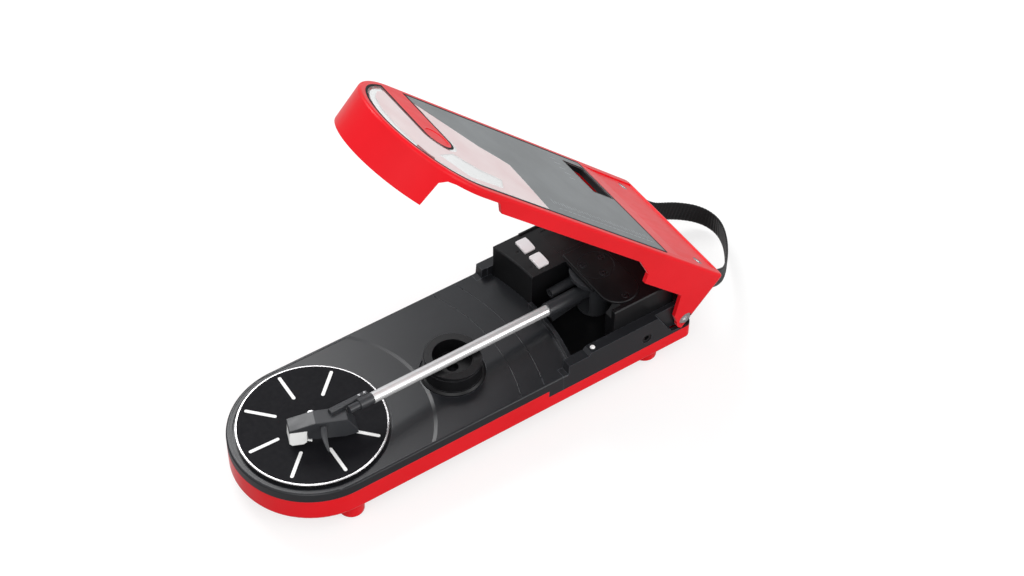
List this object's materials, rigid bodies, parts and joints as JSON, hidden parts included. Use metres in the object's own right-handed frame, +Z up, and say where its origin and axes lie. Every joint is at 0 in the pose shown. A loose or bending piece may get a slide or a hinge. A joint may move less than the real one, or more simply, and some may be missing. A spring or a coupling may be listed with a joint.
{
  "type": "portable record player",
  "caption": "Portable belt-drive record player: round-nosed clamshell case, propped lid with smoked window, metal-rimmed platter and straight tonearm.",
  "frame": {"origin": "on the spindle axis, level with the top of the platter mat", "axes": "+Z up along the spindle; +X from the spindle towards the lid hinge; +Y towards the side opposite the tonearm bay"},
  "size_m": [0.3593, 0.1, 0.2496],
  "materials": {
    "red_plastic": "satin",
    "black_plastic": "satin moulded",
    "deck_plastic": "fine satin",
    "gray_window": "smoked gloss",
    "rim_metal": "turned bright",
    "tube_metal": "polished",
    "rubber": "matte",
    "white_plastic": "satin",
    "key_metal": "pearl satin",
    "screw_steel": "bright",
    "dark_screw": "blackened",
    "bronze": "sintered",
    "motor_steel": "plated",
    "board": "solder mask",
    "chip": "moulded",
    "cell_wrap": "heat-shrink",
    "webbing": "ribbed woven"
  },
  "bodies": {
    "case": {"base_tub": "red_plastic", "feet": "red_plastic", "foot_pads": "rubber", "deck_plate": "deck_plastic", "side_rails": "deck_plastic", "bearing_bush": "bronze", "battery": "cell_wrap", "circuit_board": "board", "board_parts": "chip", "audio_jack": "black_plastic", "charge_socket": "motor_steel", "indicator_light": "white_plastic", "motor": "motor_steel", "drive_belt": "rubber", "block_housing": "black_plastic", "pivot_cover": "black_plastic", "cover_screws": "dark_screw", "switch_board": "board", "bay_tray": "black_plastic", "pivot_post": "motor_steel", "ep_adaptor": "black_plastic", "hinge_screws": "screw_steel", "hinge_bushes": "bronze"},
    "platter_group": {"sub_platter": "black_plastic", "platter": "rim_metal", "slip_mat": "rubber", "mat_bars": "white_plastic", "spindle": "screw_steel"},
    "motor_rotor": {"motor_pulley": "bronze"},
    "play_button": {"play_key": "key_metal"},
    "speed_button": {"speed_key": "key_metal"},
    "arm_turret": {"turret": "black_plastic", "cross_pin": "screw_steel"},
    "tonearm": {"arm_root": "black_plastic", "arm_tube": "tube_metal", "head_collar": "black_plastic", "collar_screws": "screw_steel", "headshell": "black_plastic", "cartridge": "white_plastic", "stylus": "white_plastic", "finger_lift": "black_plastic"},
    "lid": {"lid_shell": "red_plastic", "lid_window": "gray_window", "window_hatch": "black_plastic", "lid_screws": "screw_steel", "clamp_sleeve": "red_plastic", "hand_strap": "webbing", "strap_anchors": "black_plastic"},
    "clamp": {"clamp_foot": "black_plastic"}
  },
  "joints": [
    {"name": "lid_hinge", "type": "hinge", "parent": "case", "child": "lid", "pos_m": [0.2326, 0, -0.0073], "axis": [0, 1, 0], "range_deg": [-44.06, 40]},
    {"name": "clamp_press", "type": "slide", "parent": "lid", "child": "clamp", "axis": [0.6954, 0, 0.7186], "range_m": [0, 0.0025], "stiffness_N_per_m": 300},
    {"name": "platter_spin", "type": "hinge", "parent": "case", "child": "platter_group", "pos_m": [0, 0, -0.01], "axis": [0, 0, 1], "continuous": true},
    {"name": "motor_spin", "type": "hinge", "parent": "case", "child": "motor_rotor", "pos_m": [0.07, 0.026, -0.01], "axis": [0, 0, 1], "continuous": true},
    {"name": "tonearm_swing", "type": "hinge", "parent": "case", "child": "arm_turret", "pos_m": [0.1962, -0.0052, 0], "axis": [0, 0, 1], "range_deg": [0, 40]},
    {"name": "tonearm_lift", "type": "hinge", "parent": "arm_turret", "child": "tonearm", "pos_m": [0.1962, -0.0052, 0.0036], "axis": [-0.0677, 0.9977, 0], "range_deg": [-0.3, 12]},
    {"name": "play_press", "type": "slide", "parent": "case", "child": "play_button", "axis": [0, 0, -1], "range_m": [0, 0.0012], "stiffness_N_per_m": 300},
    {"name": "speed_press", "type": "slide", "parent": "case", "child": "speed_button", "axis": [0, 0, -1], "range_m": [0, 0.0012], "stiffness_N_per_m": 300}
  ],
  "couplings": [
    {"joint": "motor_spin", "follows": "platter_spin", "ratio": 9.2059}
  ]
}
